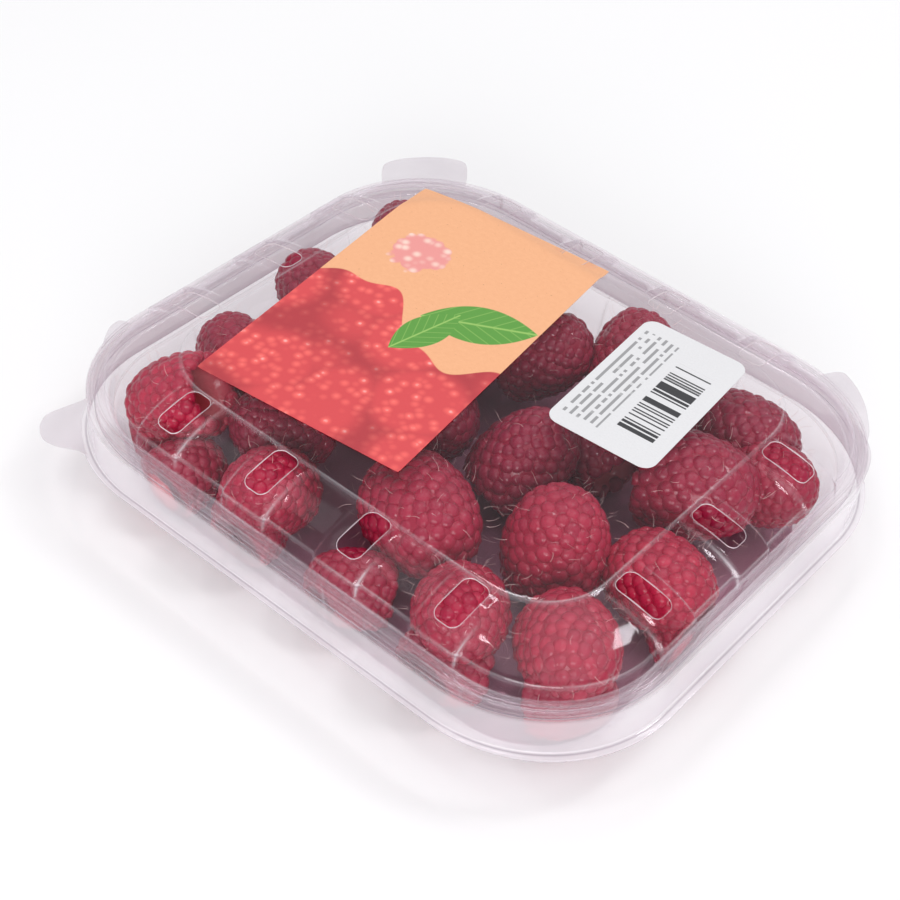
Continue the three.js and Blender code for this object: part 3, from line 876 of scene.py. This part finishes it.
def hidden_berries():
    """Berries that fill the rest of the tray, by a seeded rule, as in the CAD part."""
    state, laid, berries = HIDDEN_SEED, [berry[:2] for berry in SHOWN_BERRIES], []
    for row in range(HIDDEN_ROWS):
        for column in range(HIDDEN_COLUMNS):
            draws = []
            for _ in range(3):
                state = state * 16807 % 2147483647
                draws.append(state / 2147483647)
            x = (column - (HIDDEN_COLUMNS - 1) / 2 + row % 2 * 0.3) * HIDDEN_STEP_X
            y = (row - (HIDDEN_ROWS - 1) / 2) * HIDDEN_STEP_Y
            near = min(math.hypot(x - u, y - v) for u, v in laid)
            if near > HIDDEN_KEEP_OFF and abs(x) < HIDDEN_EDGE_X and abs(y) < HIDDEN_EDGE_Y:
                laid.append((x, y))
                berries.append((x, y, HIDDEN_HEIGHT + 2 * draws[0], 360 * draws[1],
                                60 * draws[2], HIDDEN_SIZE, HIDDEN_RIPE))
    return berries + [(x, y, LOW_HEIGHT, 97 * x, LOW_TILT, LOW_SIZE, LOW_RIPE)
                      for x, y in LOW_BERRIES]


def rounded_distance(points, half_x, half_y, radius):
    """How far points lie outside a rounded rectangle, and the way out."""
    reach = np.stack([half_x - radius, half_y - radius], -1)
    q = np.abs(points[:, :2]) - reach
    over = np.maximum(q, 0)
    length = np.maximum(np.hypot(over[:, 0], over[:, 1]), 1e-9)
    outside = length + np.minimum(np.max(q, axis=1), 0) - radius
    return outside, over / length[:, None] * np.sign(points[:, :2])


def fit_to_room(points):
    """Moves points in from the tray's wall and down from the lid."""
    heights = ROOM[:, 3]
    level = np.minimum(points[:, 2], heights[ROOF_FROM])
    half_x, half_y, radius = (np.interp(level, heights, ROOM[:, k]) for k in range(3))
    outside, way = rounded_distance(points, half_x, half_y, radius)
    points[:, :2] -= np.maximum(outside, 0)[:, None] * way
    roof = np.full(len(points), heights[-1])
    for low, high in zip(ROOM[ROOF_FROM:-1], ROOM[ROOF_FROM + 1:]):
        near, far = (rounded_distance(points, *edge[:3])[0] for edge in (low, high))
        share = np.clip(near / np.minimum(near - far, -1e-9), 0, 1)
        roof = np.where(far > 0, low[3] + share * (high[3] - low[3]), roof)
    points[:, 2] = np.clip(points[:, 2], heights[0], roof)
    return points


def placing(berry, seed):
    """Turn, size and place of a berry whose own axis is Z."""
    x, y, z, turn, tip, size = berry[:6]
    heading, tilt = math.radians(turn), math.radians(tip)
    aim = Vector((math.cos(tilt) * math.cos(heading), math.cos(tilt) * math.sin(heading),
                  math.sin(tilt)))
    roll = Matrix.Rotation(random.Random(seed).uniform(0, math.tau), 4, "Z")
    squeeze = Matrix.Diagonal((size, size * 0.97, size, 1))
    turned = aim.to_track_quat("Z", "Y").to_matrix().to_4x4()
    return Matrix.Translation(Vector((x, y + SHIFT_Y, z)) * MM) @ turned @ roll @ squeeze


def evaluated_mesh(tree, values):
    """Plain mesh of a geometry tree with its inputs set."""
    item = bpy.data.objects.new("grown", bpy.data.meshes.new("grown"))
    bpy.context.scene.collection.objects.link(item)
    change = item.modifiers.new("grow", "NODES")
    change.node_group = tree
    for socket in tree.interface.items_tree:
        if socket.in_out == "INPUT" and socket.name in values:
            change[socket.identifier] = values[socket.name]
    mesh = bpy.data.meshes.new_from_object(
        item.evaluated_get(bpy.context.evaluated_depsgraph_get()))
    bpy.data.objects.remove(item)
    return mesh


def grown_berries(tree, berries, first_seed, material, **values):
    """One mesh for each berry, set in its place between tray and lid."""
    meshes = []
    for number, berry in enumerate(berries):
        seed = first_seed + 17 * number
        place = placing(berry, seed)
        up = place.to_3x3().transposed() @ Vector((0, 0, 1))
        mesh = evaluated_mesh(tree, {"Seed": seed, "Material": material, "Up": up, **values})
        mesh.transform(place)
        points = np.empty(len(mesh.vertices) * 3)
        mesh.vertices.foreach_get("co", points)
        points = fit_to_room(points.reshape(-1, 3) / MM - [0, SHIFT_Y, 0])
        mesh.vertices.foreach_set("co", ((points + [0, SHIFT_Y, 0]) * MM).ravel())
        add_attribute(mesh, "ripe", [berry[6]] * len(mesh.vertices))
        meshes.append(mesh)
    return meshes


def raspberry_skin():
    """Crimson with painted shade deep between the drupelets, dusty rose on top, pale inside the
    hollow.
    """
    material, board = new_material("raspberry skin")
    place = board.object_place()
    dip, tone = board.attribute("dip"), board.attribute("tone")
    ripe, hollow = board.attribute("ripe"), board.attribute("hollow")
    cloud = board.noise(place, 260.0, 3.0)
    grain = board.noise(place, 2600.0, 2.0)
    juice = board.mix(tone * 0.7 + cloud * 0.5 - 0.1, *JUICE)
    juice = board.mix(ripe * 0.8, juice, RIPE_JUICE)
    bloom = cloud * 0.7 + grain.rise(0.5, 0.75) * 0.3
    skin = board.mix(bloom * (0.32 - ripe * 0.12), juice, BLOOM)
    # Painted shade: darker towards each drupelet's foot and over the skin between the drupelets
    skin = board.mix(dip.rise(0.8, 0.4) * 0.4, skin, PAINTED_CREVICE_SHADE)
    skin = board.mix(hollow, skin, board.mix(cloud, *HOLLOW))
    fuzz = board.noise(place, 1500.0, 3.0, 0.7)
    finish_material(board, board.add("ShaderNodeBsdfPrincipled", None, {
        "Base Color": skin, "Roughness": grain * 0.16 + hollow * 0.3 + 0.24,
        "Coat Weight": 0.5, "Coat Roughness": 0.07, "Specular IOR Level": 0.25,
        "IOR": 1.36, "Normal": board.bump(fuzz, 0.00025, 0.5)}))
    return material


def hair_colour():
    material, board = new_material("raspberry hair")
    tone = board.noise(board.object_place(), 420.0, 2.0)
    finish_material(board, board.add("ShaderNodeBsdfPrincipled", None, {
        "Base Color": board.mix(tone, *HAIR), "Roughness": tone * 0.3 + 0.35}))
    return material


def build_fruit():
    """The shown berries, those below and between them, and the shown ones' hairs."""
    skin, hair = raspberry_skin(), hair_colour()
    berry, hairs = raspberry_tree(), hair_tree()
    below = {"Drupelets": LOWER_DRUPELETS, "Drupelet size": LOWER_DRUPELET_SIZE * MM}
    for name, tree, berries, seed, finish, values in (
            ("whole_raspberries", berry, SHOWN_BERRIES, 100, skin, {}),
            ("lower_raspberries", berry, hidden_berries(), 700, skin, below),
            ("raspberry_hairs", hairs, SHOWN_BERRIES, 100, hair, {})):
        mesh = join_meshes(name, grown_berries(tree, berries, seed, finish, **values))
        add_piece(name, mesh, "raspberries", [finish])


# Labels
def lid_height(x, y):
    """Height of the lid's top, bays left out."""
    points = np.stack([x, y], 1)
    rows = eased_line(LID_LINE)
    height = np.full(len(points), PANEL_HEIGHT)
    for low, high in zip(rows[:-1], rows[1:]):
        near, far = (rounded_distance(points, *row[:3])[0] for row in (low, high))
        share = np.clip(near / np.maximum(near - far, 1e-9), 0, 1)
        height = np.where(near > 0, PANEL_HEIGHT - low[3] - share * (high[3] - low[3]), height)
    return height


def label_grid(label, step):
    """Points of a label's grid, its corners drawn round."""
    across, along = int(label["wide"] / step), int(label["long"] / step)
    u, v = np.meshgrid(np.linspace(-1, 1, across + 1), np.linspace(-1, 1, along + 1))
    x, y = u.ravel() * label["wide"] / 2, v.ravel() * label["long"] / 2
    reach_x, reach_y = label["wide"] / 2 - label["radius"], label["long"] / 2 - label["radius"]
    dx, dy = np.abs(x) - reach_x, np.abs(y) - reach_y
    corner = (dx > 0) & (dy > 0)
    shrink = np.maximum(dx, dy) / np.maximum(np.hypot(dx, dy), 1e-9)
    x = np.where(corner, np.sign(x) * (reach_x + dx * shrink), x)
    y = np.where(corner, np.sign(y) * (reach_y + dy * shrink), y)
    c, s = math.cos(math.radians(label["turn"])), math.sin(math.radians(label["turn"]))
    return across, along, label["x"] + x * c - y * s, label["y"] + x * s + y * c


def label_mesh(name, label, step):
    """Thin label that follows the panel and bends with the crease."""
    across, along, x, y = label_grid(label, step)
    z = lid_height(x, y) + LABEL_LIFT
    points = np.vstack([np.stack([x, y, z + LABEL_THICK], 1), np.stack([x, y, z], 1)])
    count, row = len(x), across + 1
    faces = []
    for a in (j * row + i for j in range(along) for i in range(across)):
        faces += [(a, a + 1, a + row + 1, a + row),
                  (a + count, a + row + count, a + row + 1 + count, a + 1 + count)]
    border = (list(range(across)) + [across + row * j for j in range(along)]
              + [along * row + i for i in range(across, 0, -1)]
              + [row * j for j in range(along, 0, -1)])
    faces += [(b, a, a + count, b + count) for a, b in zip(border, border[1:] + border[:1])]
    return mesh_from(name, points, faces)


def label_place(board, label):
    """Object coordinates turned into millimetres across and along a label."""
    return board.add("ShaderNodeMapping", {"vector_type": "TEXTURE"}, {
        "Vector": board.object_place(),
        "Location": (label["x"] * MM, (label["y"] + SHIFT_Y) * MM, 0),
        "Rotation": (0, 0, math.radians(label["turn"])), "Scale": (MM, MM, MM)})


def paper_shader(board, colour, gloss, fibre):
    """Satin paper whose fibre shows faintly."""
    finish_material(board, board.add("ShaderNodeBsdfPrincipled", None, {
        "Base Color": colour, "Roughness": gloss, "Coat Weight": 0.25, "Coat Roughness": 0.15,
        "Normal": board.bump(fibre, 0.0002, 0.3)}))


def leaf_shape(board, across, along, x, y, length, wide, turn):
    """A pointed leaf and its ribs."""
    c, s = math.cos(math.radians(turn)), math.sin(math.radians(turn))
    u = ((across - x) * c + (along - y) * s) * (1 / length)
    v = (((along - y) * c - (across - x) * s) * (1 / wide)).of("ABSOLUTE")
    edge = 1.0 - u * u - v
    ribs = v.rise(0.07, 0.02).most((v * 14.0 - u * 22.0).of("SINE").rise(0.85, 1.0) * 0.5)
    return edge.rise(0.0, 0.05), ribs


def picture_print():
    """Speckled brown paper, a field of round red cells, a pale spot and two leaf blades."""
    material, board = new_material("printed paper")
    place = label_place(board, PICTURE_LABEL)
    across, along, _ = board.parts(place)
    fibre = board.noise(place, 0.9, 4.0, 0.7)
    fleck = board.noise(place, 1.7, 2.0).rise(0.7, 0.78)
    paper = board.mix(fleck * 0.55, board.mix(fibre, *BROWN_PAPER), FLECK)
    wave = (across * 0.16).of("SINE") * 5.0 + (across * 0.41 + 1.0).of("SINE") * 1.6
    line = along + wave + across * 0.28 + 3.0
    cells = board.add("ShaderNodeTexVoronoi", None, {
        "Vector": place, "Scale": 0.4, "Randomness": 0.7})
    groups = board.add("ShaderNodeTexVoronoi", None, {
        "Vector": place, "Scale": 0.062, "Randomness": 0.8})
    dome = cells.rise(0.62, 0.1)
    red = board.mix(dome, *RED_CELL)
    light = cells.rise(0.3, 0.06) * board.noise(place, 0.7, 2.0).rise(0.36, 0.6)
    red = board.mix(light * 0.85, red, CELL_LIGHT)
    red = board.mix(groups.rise(0.5, 0.78) * 0.7, red, CELL_SHADE)
    colour = board.mix(line.rise(0.25, -0.25), paper, red)
    spot = ((across - SPOT_ACROSS) ** 2.0 + (along - SPOT_ALONG) ** 2.0).of("SQRT") + cells * 3.0
    spot = spot.rise(SPOT_REACH, SPOT_REACH - 0.8)
    colour = board.mix(spot, colour, board.mix(dome, *PALE_CELL))
    for blade in LEAF_BLADES:
        shape, ribs = leaf_shape(board, across, along, *blade)
        colour = board.mix(shape, colour, board.mix(ribs, *LEAF_GREEN))
    paper_shader(board, colour, fibre * 0.15 + 0.4, fibre)
    return material


def price_print():
    """White paper with rows of short grey dashes and a block of plain bars."""
    material, board = new_material("white label paper")
    place = label_place(board, PRICE_LABEL)
    across, along, _ = board.parts(place)
    fibre = board.noise(place, 2.2, 3.0)
    bars = board.add("ShaderNodeTexWhiteNoise", {"noise_dimensions": "1D"},
                     {"W": (along * BARS_PER_MM).of("FLOOR")})
    block = (across - BARS_ACROSS).of("ABSOLUTE").rise(BARS_WIDE, BARS_WIDE - 0.2)
    block = block * (along - BARS_ALONG).of("ABSOLUTE").rise(BARS_LONG, BARS_LONG - 0.2)
    dark = bars.rise(0.46, 0.5) * block
    columns = board.add("ShaderNodeVectorMath", {"operation": "MULTIPLY"},
                        {0: place, 1: (ROWS_PER_MM, DASHES_PER_MM, 0)})
    cell = board.add("ShaderNodeTexWhiteNoise", {"noise_dimensions": "2D"}, {
        "Vector": board.add("ShaderNodeVectorMath", {"operation": "FLOOR"}, {0: columns})})
    row = ((across * ROWS_PER_MM).of("FRACT") - 0.5).of("ABSOLUTE").rise(0.24, 0.18)
    field = (across - ROWS_ACROSS).of("ABSOLUTE").rise(ROWS_WIDE, ROWS_WIDE - 0.2)
    field = field * along.of("ABSOLUTE").rise(ROWS_LONG, ROWS_LONG - 0.2)
    ink = dark.most(row * cell.rise(0.3, 0.34) * field * 0.6)
    colour = board.mix(ink, board.mix(fibre, *WHITE_PAPER), INK)
    paper_shader(board, colour, fibre * 0.1 + 0.45, fibre)
    return material


def build_labels():
    for name, label, step, node, slot, finish in (
            ("picture_label_print", PICTURE_LABEL, PICTURE_STEP, "picture_label",
             "picture_paper", picture_print()),
            ("price_label_print", PRICE_LABEL, PRICE_STEP, "price_label", "white_paper",
             price_print())):
        mesh = label_mesh(name, label, step)
        mesh.shade_smooth()
        mesh.set_sharp_from_angle(angle=SHARP_ANGLE)
        add_piece(name, mesh, node, [finish])


# Studio: the camera that was solved from the photo, and lights with place, size and watts
VIEW_AZIMUTH, VIEW_ELEVATION, VIEW_ROLL = 35.58, 43.01, 6.67
VIEW_PLACE = (0.1593, -0.2318 + SHIFT_Y * MM, 0.2725)
VIEW_LENS = 71.1
LIGHTS = [
    ("top light", (0.1, -0.1, 1.9), (2.4, 2.4), 14.0),
    ("front light", (0.7, -1.02, 0.42), (0.9, 0.5), 8.0),
    ("right window", (0.34, 0.54, 0.95), (0.22, 0.18), 1.8),
    ("left window", (-0.32, 0.48, 0.98), (0.12, 0.1), 0.55),
    ("upper window", (-0.26, -0.2, 1.1), (0.12, 0.1), 0.5),
]
SKY_COLOUR, SKY_STRENGTH, FLOOR_HALF = (1.0, 0.99, 1.0, 1), 0.52, 6
CLEAR_BOUNCES, ALL_BOUNCES, DIFFUSE_BOUNCES, GLOSSY_BOUNCES = 32, 8, 3, 5


def add_camera():
    """Camera turned by its azimuth, elevation and roll."""
    a, e, r = (math.radians(angle) for angle in (VIEW_AZIMUTH, VIEW_ELEVATION, VIEW_ROLL))
    back = Vector((math.sin(a) * math.cos(e), -math.cos(a) * math.cos(e), math.sin(e)))
    level = Vector((math.cos(a), math.sin(a), 0.0))
    above = back.cross(level)
    right = level * math.cos(r) + above * math.sin(r)
    above = above * math.cos(r) - level * math.sin(r)
    camera = bpy.data.cameras.new("camera")
    camera.lens, camera.sensor_width = VIEW_LENS, 36.0
    camera.clip_start, camera.clip_end = 0.01, 20.0
    item = bpy.data.objects.new("camera", camera)
    bpy.context.scene.collection.objects.link(item)
    turned = Matrix((right, above, back)).transposed().to_4x4()
    item.matrix_world = Matrix.Translation(VIEW_PLACE) @ turned
    bpy.context.scene.camera = item


def add_light(name, place, size, power, aim=(0, 0, 0.02)):
    light = bpy.data.lights.new(name, "AREA")
    light.shape, light.energy = "RECTANGLE", power
    light.size, light.size_y = size
    item = bpy.data.objects.new(name, light)
    item.location = place
    item.rotation_euler = (Vector(aim) - Vector(place)).to_track_quat("-Z", "Y").to_euler()
    bpy.context.scene.collection.objects.link(item)


def build_studio():
    """Pale floor, even sky, soft lights and the bounces that clear sheets need."""
    material, board = new_material("studio floor")
    tone = board.noise(board.object_place(), 3.0, 2.0)
    finish_material(board, board.add("ShaderNodeBsdfPrincipled", None, {
        "Base Color": board.mix(tone, *STUDIO_FLOOR), "Roughness": 0.8}))
    mesh = bpy.data.meshes.new("floor")
    half = FLOOR_HALF
    corners = [(-half, -half, 0), (half, -half, 0), (half, half, 0), (-half, half, 0)]
    mesh.from_pydata(corners, [], [(0, 1, 2, 3)])
    mesh.materials.append(material)
    floor = bpy.data.objects.new("floor", mesh)
    bpy.context.scene.collection.objects.link(floor)
    world = bpy.data.worlds.new("studio")
    world.use_nodes = True
    sky = world.node_tree.nodes["Background"].inputs
    sky[0].default_value, sky[1].default_value = SKY_COLOUR, SKY_STRENGTH
    bpy.context.scene.world = world
    for light in LIGHTS:
        add_light(*light)
    bpy.context.scene.view_settings.view_transform = "Standard"
    cycles = bpy.context.scene.cycles
    cycles.transparent_max_bounces, cycles.max_bounces = CLEAR_BOUNCES, ALL_BOUNCES
    cycles.diffuse_bounces, cycles.glossy_bounces = DIFFUSE_BOUNCES, GLOSSY_BOUNCES


build_plastic()
build_fruit()
build_labels()
build_studio()
add_camera()
